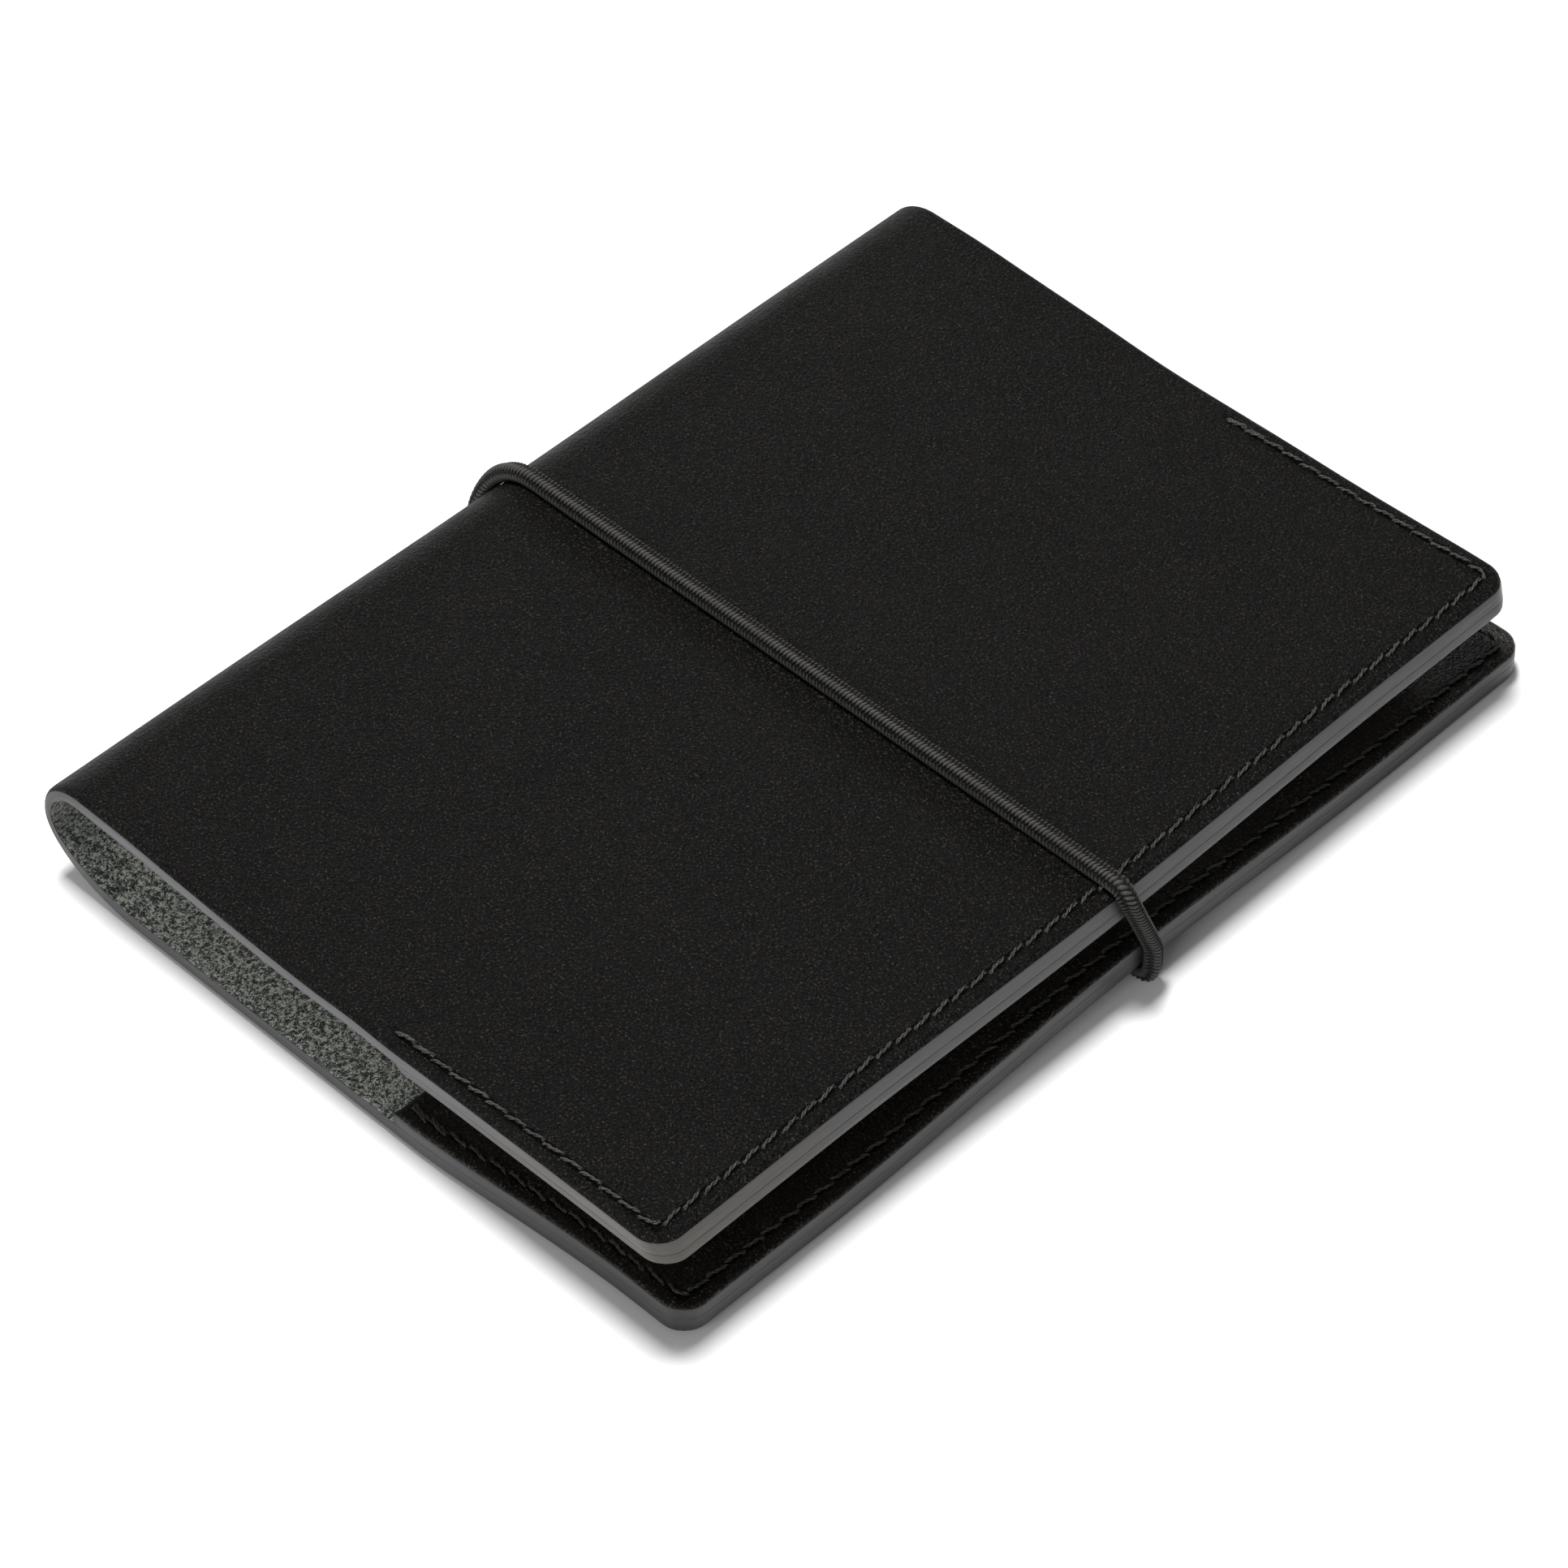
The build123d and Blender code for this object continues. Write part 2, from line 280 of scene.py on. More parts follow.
def tubes(paths, radius):
    """Points and faces of round tubes along paths, narrower and closed at both ends."""
    sides = 6
    end_share = 0.6
    points, faces = [], []
    for path in paths:
        first = len(points)
        tangent = np.gradient(path, axis=0)
        tangent /= np.linalg.norm(tangent, axis=1, keepdims=True)
        side = np.cross(tangent, [0, 0, 1.0])
        side /= np.linalg.norm(side, axis=1, keepdims=True)
        up = np.cross(side, tangent)
        for k in range(len(path)):
            size = radius * (end_share if k in (0, len(path) - 1) else 1)
            for i in range(sides):
                turn = 2 * math.pi * i / sides
                spoke = math.cos(turn) * side[k] + math.sin(turn) * up[k]
                points.append(path[k] + size * spoke)
        for k in range(len(path) - 1):
            for i in range(sides):
                j = (i + 1) % sides
                row = first + k * sides
                faces.append((row + i, row + j, row + sides + j, row + sides + i))
        faces.append(tuple(first + i for i in reversed(range(sides))))
        faces.append(tuple(first + (len(path) - 1) * sides + i for i in range(sides)))
    return np.array(points), faces


def bend_profile(outer, inner, top, bottom):
    """(inset, depth) pairs round a sheet's edge, with these roundings at its two faces."""
    pairs = []
    for t in np.linspace(0, math.pi / 2, 6):
        pairs.append((outer * (1 - math.sin(t)), top + outer * (1 - math.cos(t))))
    middle = (top + outer + bottom - inner) / 2
    pairs.append((-edge_bulge, middle))
    for t in np.linspace(math.pi / 2, 0, 4):
        pairs.append((inner * (1 - math.sin(t)), bottom - inner * (1 - math.cos(t))))
    return pairs


edge_lines = [1.3, 1.6, 1.9, 2.2, 2.5, 2.9, 3.5, 4.3, 5.3]


def grid_lines(start, end, step):
    """Positions between start and end, closer together near both."""
    low = [start + e for e in edge_lines]
    high = [end - e for e in reversed(edge_lines)]
    count = int((high[0] - low[-1]) / step)
    return low + list(np.linspace(low[-1], high[0], count + 1)[1:-1]) + high


def slab(start, end, profile, top, marks=(), round_start=True):
    """A sheet with rounded edges, whose outer face is set deeper by top(s, y) and which has a
    grid line at each mark. Returns the points with their flat places (s, y, depth), normals and
    distances from the edge, and the faces with their cells along the sheet, between the lines,
    and their kinds: 0 outer face, 1 inner face, 2 edge."""
    step, closest = 1.1, 0.25
    s_lines = sorted(set(grid_lines(start, end, step)) | set(marks))
    kept = [s_lines[0]]
    for s in s_lines[1:]:
        if s - kept[-1] > closest or s in marks:
            if s in marks and s - kept[-1] <= closest and len(kept) > 1:
                kept.pop()
            kept.append(s)
    y_lines = grid_lines(-half_length, half_length, step)

    def flat(inset):
        """The grid with its border at an inset, and its corners drawn into a round."""
        s = np.array([start + inset, *kept, end - inset])
        y = np.array([inset - half_length, *y_lines, half_length - inset])
        grid_s, grid_y = np.meshgrid(s, y, indexing="ij")
        ends = [(end, -1)] + ([(start, 1)] if round_start else [])
        for edge, way in ends:
            e_s = (grid_s - edge) * way
            e_y = half_length - np.abs(grid_y)
            near = (e_s < corner_radius) & (e_y < corner_radius)
            p, q = corner_radius - e_s[near], corner_radius - e_y[near]
            reach = np.maximum(p, q)
            turn = np.where(p >= q, q / reach, 2 - p / np.maximum(q, 1e-9)) * math.pi / 4
            sign = np.sign(grid_y[near])
            grid_s[near] = edge + way * (corner_radius - reach * np.cos(turn))
            grid_y[near] = sign * (half_length - corner_radius + reach * np.sin(turn))
        return grid_s, grid_y

    rows, columns = len(kept) + 2, len(y_lines) + 2
    loop = [(0, j) for j in range(columns - 1)] + [(i, columns - 1) for i in range(rows - 1)]
    loop += [(rows - 1, j) for j in range(columns - 1, 0, -1)]
    loop += [(i, 0) for i in range(rows - 1, 0, -1)]
    loop_i = np.array([p[0] for p in loop])
    loop_j = np.array([p[1] for p in loop])

    s0, y0 = flat(profile[0][0])
    d0 = np.full_like(s0, profile[0][1]) + top(s0, y0)
    s1, y1 = flat(profile[-1][0])
    d1 = np.full_like(s1, profile[-1][1])
    s_all = [s0.ravel(), s1.ravel()]
    y_all = [y0.ravel(), y1.ravel()]
    d_all = [d0.ravel(), d1.ravel()]
    inner_first = rows * columns
    rings = [loop_i * columns + loop_j]
    used = 2 * rows * columns
    for inset, depth in profile[1:-1]:
        s, y = flat(inset)
        s_all.append(s[loop_i, loop_j])
        y_all.append(y[loop_i, loop_j])
        fade = 1 - (depth - profile[0][1]) / (profile[-1][1] - profile[0][1])
        extra = (d0 - profile[0][1])[loop_i, loop_j] * fade
        d_all.append(depth + extra)
        rings.append(used + np.arange(len(loop)))
        used += len(loop)
    rings.append(inner_first + loop_i * columns + loop_j)

    i, j = np.meshgrid(np.arange(rows - 1), np.arange(columns - 1), indexing="ij")
    corner = (i * columns + j).ravel()
    outer_faces = np.stack([corner, corner + 1, corner + columns + 1, corner + columns], 1)
    inner_faces = inner_first + outer_faces[:, ::-1]
    faces, cells = [outer_faces, inner_faces], [i.ravel(), i.ravel()]
    kinds = [np.zeros(len(corner), int), np.ones(len(corner), int)]
    edge_cell = np.minimum(np.minimum(loop_i, np.roll(loop_i, -1)), rows - 2)
    for k, (a, b) in enumerate(zip(rings, rings[1:])):
        after_a, after_b = np.roll(a, -1), np.roll(b, -1)
        faces.append(np.stack([after_a, a, b, after_b], 1))
        cells.append(edge_cell)
        kind = 0 if profile[k + 1][1] < grain_reach else 2
        kinds.append(np.full(len(loop), kind))
    flat_place = np.stack([np.concatenate(a) for a in (s_all, y_all, d_all)], 1)
    points = place(flat_place[:, 0], flat_place[:, 1], flat_place[:, 2])
    faces = np.concatenate(faces)
    return {
        "points": points, "faces": faces, "cells": np.concatenate(cells),
        "kinds": np.concatenate(kinds), "flat": flat_place,
        "lines": np.array([start, *kept, end]), "normals": point_normals(points, faces),
        "edge": np.minimum(
            np.minimum(flat_place[:, 0] - start, end - flat_place[:, 0]),
            half_length - np.abs(flat_place[:, 1]),
        ),
    }


def piece_of(slab_data, name, materials, low=-math.inf, high=math.inf):
    """Mesh object of the part of a slab between two of its lines."""
    middle = (slab_data["lines"][1:] + slab_data["lines"][:-1]) / 2
    at = middle[slab_data["cells"]]
    keep = (at > low) & (at < high)
    faces = slab_data["faces"][keep]
    used, packed = np.unique(faces, return_inverse=True)
    return add_mesh(
        name, slab_data["points"][used], packed.reshape(faces.shape), materials,
        slab_data["kinds"][keep], slab_data["normals"][used],
        {"flat": slab_data["flat"][used], "edge": slab_data["edge"][used]},
    )


# ---- where the panels' mouths are, along the sheet ----
back_panel_at = back_at + back_panel_low[0] - back_start
front_panel_at = front_end - front_panel_low[0]


# ---- materials ----
class Graph:
    """Short way to write a node material."""

    def __init__(self, name):
        self.material = bpy.data.materials.new(name)
        self.material.use_nodes = True
        self.tree = self.material.node_tree
        self.shader = self.tree.nodes["Principled BSDF"]

    def set(self, **values):
        for key, value in values.items():
            socket = self.shader.inputs[key.replace("_", " ")]
            if isinstance(value, bpy.types.NodeSocket):
                self.tree.links.new(value, socket)
            else:
                socket.default_value = value

    def node(self, kind, output=0, settings=None, **inputs):
        """An output of a new node. An input is given by its name, or as i and its number."""
        node = self.tree.nodes.new(kind)
        for key, value in (settings or {}).items():
            setattr(node, key, value)
        for key, value in inputs.items():
            numbered = key[0] == "i" and key[1:].isdigit()
            socket = node.inputs[int(key[1:]) if numbered else key.replace("_", " ")]
            if isinstance(value, bpy.types.NodeSocket):
                self.tree.links.new(value, socket)
            else:
                socket.default_value = value
        return node.outputs[output]

    def field(self, name, output="Vector"):
        return self.node("ShaderNodeAttribute", output, {"attribute_name": name})

    def object_place(self):
        """Place on the object, in metres."""
        return self.node("ShaderNodeTexCoord", 3)

    def axis(self, vector, number):
        return self.node("ShaderNodeSeparateXYZ", number, None, Vector=vector)

    def scaled(self, vector, x, y, z):
        return self.node("ShaderNodeMapping", 0, None, Vector=vector, Scale=(x, y, z))

    def noise(self, vector, scale, detail, roughness):
        return self.node(
            "ShaderNodeTexNoise", 0, None, Vector=vector, Scale=scale, Detail=detail,
            Roughness=roughness,
        )

    def cells(self, vector, scale):
        return self.node(
            "ShaderNodeTexVoronoi", 0, {"feature": "SMOOTH_F1"}, Vector=vector, Scale=scale,
            Randomness=1.0,
        )

    def math(self, operation, a, b=0.0):
        return self.node("ShaderNodeMath", 0, {"operation": operation}, i0=a, i1=b)

    def ramp(self, value, low, high, to_low=0.0, to_high=1.0):
        """Smooth step of a value from low to high. With low above high it falls instead."""
        return self.node(
            "ShaderNodeMapRange", 0, {"interpolation_type": "SMOOTHSTEP"}, Value=value,
            From_Min=low, From_Max=high, To_Min=to_low, To_Max=to_high,
        )

    def mix(self, share, a, b):
        node = self.tree.nodes.new("ShaderNodeMix")
        node.data_type = "RGBA"
        for index, value in ((0, share), (6, a), (7, b)):
            if isinstance(value, bpy.types.NodeSocket):
                self.tree.links.new(value, node.inputs[index])
            else:
                node.inputs[index].default_value = value
        return node.outputs[2]

    def multiplied(self, a, b):
        out = self.mix(1.0, a, b)
        out.node.blend_type = "MULTIPLY"
        return out

    def bump(self, height, distance):
        return self.node(
            "ShaderNodeBump", 0, None, Height=height, Distance=distance * MM, Strength=1.0
        )


def grey(level, warm=0.0):
    return (level * (1 + warm), level, level * (1 - warm), 1)


def grain_leather(name, tone, roughness, grain_depth, shine, glint_level, warm=0.06):
    """Black pebbled leather: grain with painted shade in its hollows, pale specks that are painted
    glints, tone drift, a pressed channel under each seam with painted shade in it, and edges paler
    from rubbing and a painted highlight."""
    g = Graph(name)
    flat = g.field("flat")
    from_edge = g.field("edge", "Fac")
    pebbles = g.cells(flat, 2.5)
    fine = g.noise(flat, 4.2, 3.0, 0.6)
    creases = g.noise(g.scaled(flat, 1.0, 1.6, 1.0), 0.9, 4.0, 0.65)
    height = g.math("ADD", g.math("MULTIPLY", pebbles, -0.8), g.math("MULTIPLY", fine, 0.9))
    height = g.math("ADD", height, g.math("MULTIPLY", creases, 0.5))
    drift = g.noise(flat, 0.045, 4.0, 0.6)
    clusters = g.noise(flat, 0.8, 3.0, 0.6)
    # Pale specks in the base colour: painted glints of the grain.
    painted_glints = g.ramp(g.noise(flat, 3.5, 1.0, 0.5), 0.57, 0.70)
    painted_glints = g.math("MULTIPLY", painted_glints, g.ramp(clusters, 0.35, 0.65, 0.35, 1.0))
    # Painted shade in the grain's hollows and painted light on its raised tops: the colour follows
    # part of the grain's height.
    hollow, pebble = grey(tone * 0.15, warm), grey(tone * 1.9, warm)
    base = g.mix(g.ramp(fine, 0.38, 0.62), hollow, pebble)
    base = g.mix(g.ramp(drift, 0.3, 0.7, 0.0, 0.35), base, grey(tone * 0.5, warm))
    base = g.mix(painted_glints, base, grey(tone * glint_level, warm * 2))
    along = g.axis(flat, 0)
    on_front = g.math("LESS_THAN", along, front_panel_at)
    on_back = g.math("GREATER_THAN", along, back_panel_at)
    from_seam = g.math("ABSOLUTE", g.math("SUBTRACT", from_edge, stitch_inset))
    stitched = g.math("MAXIMUM", on_front, on_back)
    # Pressed groove along each seam: the bump sinks it, and its near-black colour is painted
    # shade.
    groove_and_shade = g.math("MULTIPLY", stitched, g.ramp(from_seam, 0.55, 0.15))
    base = g.mix(g.math("MULTIPLY", groove_and_shade, 0.85), base, grey(0.0008, warm))
    height = g.math("SUBTRACT", height, groove_and_shade)
    # Paler rim near the cut edges: rubbing, and a painted highlight along the rounded edge.
    rubbed_and_highlight = g.math("MULTIPLY", g.ramp(from_edge, 0.9, -0.05), g.ramp(fine, 0.42, 0.62))
    base = g.mix(g.math("MULTIPLY", rubbed_and_highlight, 0.4), base, grey(0.02))
    patches = g.noise(flat, 0.16, 3.0, 0.55)
    varied = g.ramp(patches, 0.25, 0.75, roughness - 0.06, roughness + 0.07)
    g.set(Base_Color=base, Roughness=varied, Specular_IOR_Level=shine)
    g.set(Normal=g.bump(height, grain_depth))
    return g.material


def flesh_leather(name):
    """The fibrous back of the leather: dark with pale grey-green flecks, and painted shade in the
    fold.
    """
    dark, green, pale = (0.006, 0.007, 0.006, 1), (0.17, 0.19, 0.17, 1), (0.95, 1.0, 0.92, 1)
    fold_shade = (0.01, 0.011, 0.01, 1)
    g = Graph(name)
    flat = g.field("flat")
    fibres = g.noise(flat, 1.8, 5.0, 0.8)
    twisted = g.node(
        "ShaderNodeTexNoise", 0, None, Vector=g.scaled(flat, 1.7, 1.0, 1.0), Scale=1.9,
        Detail=4.0, Roughness=0.7, Distortion=2.2,
    )
    fleck = g.math("ADD", g.math("MULTIPLY", fibres, 0.5), g.math("MULTIPLY", twisted, 0.5))
    base = g.mix(g.ramp(fleck, 0.47, 0.495), dark, green)
    base = g.mix(g.ramp(fleck, 0.507, 0.53), base, pale)
    from_fold = g.math("ABSOLUTE", g.math("SUBTRACT", g.axis(flat, 0), spine_at))
    # Painted shade in the fold.
    base = g.mix(g.ramp(from_fold, 20.0, 3.0, 0.0, 0.35), base, fold_shade)
    g.set(Base_Color=base, Roughness=0.95, Specular_IOR_Level=0.2, Normal=g.bump(fleck, 0.7))
    g.set(Sheen_Weight=0.25, Sheen_Roughness=0.5)
    return g.material


def edge_finish(name, dark, pale, roughness):
    """Burnished edge: streaks along it and tiny pores. Painted shade makes it darkest at the fold
    and darker on the back than on the front and towards the far end; it is warmer at the front's
    near corner."""
    warm, cool = (1.1, 1.02, 0.9, 1), (0.98, 0.96, 1.06, 1)
    g = Graph(name)
    flat = g.field("flat")
    streaks = g.noise(g.scaled(flat, 0.12, 0.12, 2.2), 1.0, 4.0, 0.6)
    patches = g.noise(flat, 0.05, 2.0, 0.5)
    pores = g.ramp(g.noise(flat, 3.6, 2.0, 0.6), 0.68, 0.74)
    base = g.mix(g.ramp(streaks, 0.2, 0.8), grey(dark), grey(pale))
    patched = g.math("MULTIPLY", g.ramp(patches, 0.45, 0.65), 0.35)
    base = g.mix(patched, base, grey(pale * 1.15, 0.06))
    base = g.mix(g.math("MULTIPLY", pores, 0.5), base, grey(pale * 1.8))
    height = g.math("ADD", streaks, g.math("MULTIPLY", g.noise(flat, 2.4, 3.0, 0.6), 0.35))
    along, across = g.axis(flat, 0), g.axis(flat, 1)
    # Painted shade: darker from just before the fold onwards, so the back's edges are darker than
    # the front's.
    base = g.mix(g.ramp(along, fold_at - 8, spine_at, 0.0, 0.62), base, grey(dark * 0.25))
    # Painted shade, deepest at the fold.
    from_fold = g.math("ABSOLUTE", g.math("SUBTRACT", along, spine_at))
    base = g.mix(g.ramp(from_fold, 14.0, 6.0, 0.0, 0.8), base, grey(dark * 0.08))
    # Painted shade, darker towards the far end.
    base = g.mix(g.ramp(across, -50.0, 50.0, 0.0, 0.35), base, grey(dark * 0.2))
    from_corner = g.math("ADD", g.math("ADD", along, across), half_length)
    base = g.multiplied(base, g.mix(g.ramp(from_corner, 12.0, 42.0), warm, cool))
    varied = g.ramp(streaks, 0.3, 0.7, roughness - 0.06, roughness + 0.08)
    g.set(Base_Color=base, Roughness=varied, Specular_IOR_Level=0.5, Normal=g.bump(height, 0.07))
    return g.material


def thread_finish(name):
    """Black thread with paler flecks: fibres, and painted glints."""
    g = Graph(name)
    place_in = g.object_place()
    fibre = g.noise(place_in, 9000.0, 2.0, 0.6)
    drift = g.noise(place_in, 150.0, 2.0, 0.5)
    base = g.mix(g.ramp(drift, 0.35, 0.7), grey(0.004, 0.04), grey(0.016, 0.04))
    # Paler flecks: fibres of the thread, and painted glints on it.
    base = g.mix(g.ramp(fibre, 0.52, 0.66), base, grey(0.14, 0.05))
    varied = g.ramp(fibre, 0.3, 0.7, 0.45, 0.65)
    g.set(Base_Color=base, Roughness=varied, Normal=g.bump(fibre, 0.05))
    return g.material


def elastic_finish(name):
    """Braided cover: paler on the yarns' crowns, with painted shade between them."""
    g = Graph(name)
    crown = g.field("crown", "Fac")
    place_in = g.object_place()
    fibre = g.noise(place_in, 7000.0, 2.0, 0.6)
    drift = g.noise(place_in, 110.0, 2.0, 0.5)
    # Painted shade in the grooves between the yarns; paler on their crowns.
    base = g.mix(g.ramp(crown, 0.5, 0.88), grey(0.001, 0.05), grey(0.062, 0.03))
    base = g.mix(g.math("MULTIPLY", g.ramp(fibre, 0.45, 0.7), crown), base, grey(0.1, 0.04))
    base = g.mix(g.math("MULTIPLY", g.ramp(drift, 0.4, 0.7), 0.3), base, grey(0.02, 0.06))
    varied = g.ramp(fibre, 0.3, 0.7, 0.42, 0.62)
    g.set(Base_Color=base, Roughness=varied, Specular_IOR_Level=0.15, Normal=g.bump(fibre, 0.04))
    return g.material


def paper_finish(name, colour, ruled):
    """Paper: fibres and a slight mottle, with faint ruling on its faces if it is ruled."""
    ruling = 0.006              # metres from line to line
    g = Graph(name)
    place_in = g.object_place()
    fibre = g.noise(place_in, 2600.0, 4.0, 0.6)
    mottle = g.noise(place_in, 90.0, 3.0, 0.5)
    darker = tuple(c * 0.95 for c in colour) + (1,)
    fibrous = tuple(c * 0.72 for c in colour) + (1,)
    base = g.mix(g.ramp(mottle, 0.3, 0.7), darker, (*colour, 1))
    base = g.mix(g.math("MULTIPLY", g.ramp(fibre, 0.55, 0.75), 0.25), base, fibrous)
    if ruled:
        line = g.math("FRACT", g.math("MULTIPLY", g.axis(place_in, 1), 1 / ruling))
        inked = g.math("LESS_THAN", line, 0.03)
        upright = g.math("ABSOLUTE", g.axis(g.node("ShaderNodeTexCoord", 1), 2))
        inked = g.math("MULTIPLY", inked, g.math("GREATER_THAN", upright, 0.7))
        base = g.mix(g.math("MULTIPLY", inked, 0.55), base, (0.35, 0.37, 0.42, 1))
    varied = g.ramp(mottle, 0.3, 0.7, 0.78, 0.9)
    g.set(Base_Color=base, Roughness=varied, Specular_IOR_Level=0.3, Normal=g.bump(fibre, 0.02))
    return g.material


def wire_finish(name):
    """Drawn steel wire."""
    g = Graph(name)
    drawn = g.noise(g.scaled(g.object_place(), 4000, 120, 4000), 1.0, 3.0, 0.6)
    base = g.mix(g.ramp(drawn, 0.3, 0.7), grey(0.42, 0.02), grey(0.6, 0.02))
    varied = g.ramp(drawn, 0.3, 0.7, 0.22, 0.42)
    g.set(Base_Color=base, Metallic=1.0, Roughness=varied, Normal=g.bump(drawn, 0.01))
    return g.material


cover_grain = grain_leather(
    "cover_grain", tone=0.0042, roughness=0.42, grain_depth=0.26, shine=0.05, glint_level=10.0
)
panel_grain = grain_leather(
    "panel_grain", tone=0.003, roughness=0.30, grain_depth=0.16, shine=0.25, glint_level=26.0, warm=0.16
)
cover_flesh = flesh_leather("cover_flesh")
cover_edge = edge_finish("cover_edge", dark=0.052, pale=0.064, roughness=0.42)
panel_edge = edge_finish("panel_edge", dark=0.048, pale=0.06, roughness=0.42)
panel_cut = edge_finish("panel_cut", dark=0.012, pale=0.03, roughness=0.6)
thread = thread_finish("thread")
braid = elastic_finish("braid")
page_paper = paper_finish("page_paper", (0.70, 0.66, 0.57), ruled=True)
card_paper = paper_finish("card_paper", (0.05, 0.05, 0.052), ruled=False)
wire = wire_finish("wire")

# ---- the cover: one sheet, cut where its bodies meet ----
# Each bend is cut close to the fold line on its spine side, where the sheet lies on its body's
# chord.
fold_half = 0.6
cuts = [fold_at - blend_margin, spine_at - fold_half, spine_at + fold_half, back_at + blend_margin]
between = [spine_at - fold_half / 2, spine_at, spine_at + fold_half / 2]
sheet_edge = bend_profile(outer=0.85, inner=0.06, top=0, bottom=sheet_thick)
sheet = slab(0, sheet_end, sheet_edge, cord_dent, marks=cuts + between)
skins = [cover_grain, cover_flesh, cover_edge]
front_sheet = piece_of(sheet, "cover_front", skins, high=cuts[0])
fold_upper = piece_of(sheet, "cover_fold_upper", skins, cuts[0], cuts[1])
fold_spine = piece_of(sheet, "cover_fold_spine", skins, cuts[1], cuts[2])
fold_lower = piece_of(sheet, "cover_fold_lower", skins, cuts[2], cuts[3])
back_sheet = piece_of(sheet, "cover_back", skins, low=cuts[3])
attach(front_sheet, "front")
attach(back_sheet, "back")


def bend(obj, first, last, way):
    """Bake a piece's transform into its mesh. It is not blended between two bodies: the lines at
    its first and last cut and the way are worked out but not used.
    """
    way = np.array(way) / np.linalg.norm(way)
    y = np.linspace(-half_length, half_length, 41)
    for s in (first, last):
        line = np.concatenate([place(np.full_like(y, s), y, d) for d in (0.0, sheet_thick)])
    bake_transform(obj)


bend(fold_upper, cuts[1], cuts[0], (0.2, 0.0, 1.0))
bend(fold_spine, cuts[2], cuts[1], (0.0, 0.0, 1.0))
bend(fold_lower, cuts[3], cuts[2], (-0.2, 0.0, 1.0))
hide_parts("front_cover_leather")
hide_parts("back_cover_leather")
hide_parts("spine_upper_leather")
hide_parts("spine_lower_leather")


# ---- pocket panels ----
def pocket_lift(fore_edge, gap):
    """Hollow in a panel's underside for the pocket: inside the three seams, open at the mouth."""
    def lift(s, y):
        from_edge = np.abs(s - fore_edge)
        from_end = half_length - np.abs(y)
        return gap * (ease((from_edge - seam_width) / 2) * ease((from_end - seam_width) / 2))
    return lift


def add_panel(name, body, node, fore_edge, mouth, thick, gap):
    """A panel is a slab in its own right. Its grain faces the paper and goes round the rim, and
    the cut at its mouth has a finish of its own."""
    clear = 0.005               # kept between the cover and the panel
    top = sheet_thick + clear
    bottom = top + thick
    rim, skin = 0.42, 0.02      # what is this close to the inner face has grain
    start, end = sorted((fore_edge, mouth))
    panel_profile = bend_profile(outer=0.05, inner=0.6, top=top, bottom=bottom)
    data = slab(
        start, end, panel_profile, pocket_lift(fore_edge, gap), round_start=fore_edge < mouth
    )
    edge = data["kinds"] == 2
    at_mouth = np.abs(data["flat"][data["faces"], 0].mean(1) - mouth) < 0.5
    depth = data["flat"][data["faces"], 2].mean(1)
    data["kinds"] = np.where(
        edge, np.where(depth > bottom - rim, 0, 2), np.where(depth > bottom - skin, 0, 1)
    )
    data["kinds"][edge & at_mouth] = 3
    obj = piece_of(data, name, [panel_grain, cover_flesh, panel_edge, panel_cut])
    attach(obj, body)
    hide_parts(node)


add_panel(
    "pocket_panel_back", "back", "back_pocket_panel", sheet_end, back_panel_at, back_panel_thick,
    back_pocket_gap,
)
add_panel(
    "pocket_panel_front", "front", "front_pocket_panel", 0, front_panel_at, front_panel_thick,
    front_pocket_gap,
)


# ---- stitching ----
mouth_margin = 0.8          # a seam stops this far before the panel's mouth
double_aside = 0.22         # the second stitch at a seam's ends lies this far beside the first
stitch_overrun = 0.02       # share of a stitch that goes past its hole
stitch_slant = 0.26         # a stitch's ends lie this far to each side of the seam
stitch_sink = 0.22          # and go this far into their holes
stitch_rise = 0.38          # height of its crown above its ends
ply_aside, ply_up = 0.12, 0.11
ply_radius = 0.125
ply_turns = 1.6             # twists of the two plies in one stitch


def seam_line(fore_edge, mouth):
    """Flat points (s, y) of the seam: along one end, the fore-edge and the other end."""
    way = 1 if mouth > fore_edge else -1
    edge_s = fore_edge + way * stitch_inset
    edge_y = half_length - stitch_inset
    turn = corner_radius - stitch_inset
    corner = [
        (edge_s + way * turn * (1 - math.sin(a)), edge_y - turn * (1 - math.cos(a)))
        for a in np.linspace(0, math.pi / 2, 7)
    ]
    half = [(mouth - way * mouth_margin, edge_y), *corner, (edge_s, 0)]
    other = [(s, -y) for s, y in reversed(half[:-1])]
    return np.array(half + other)


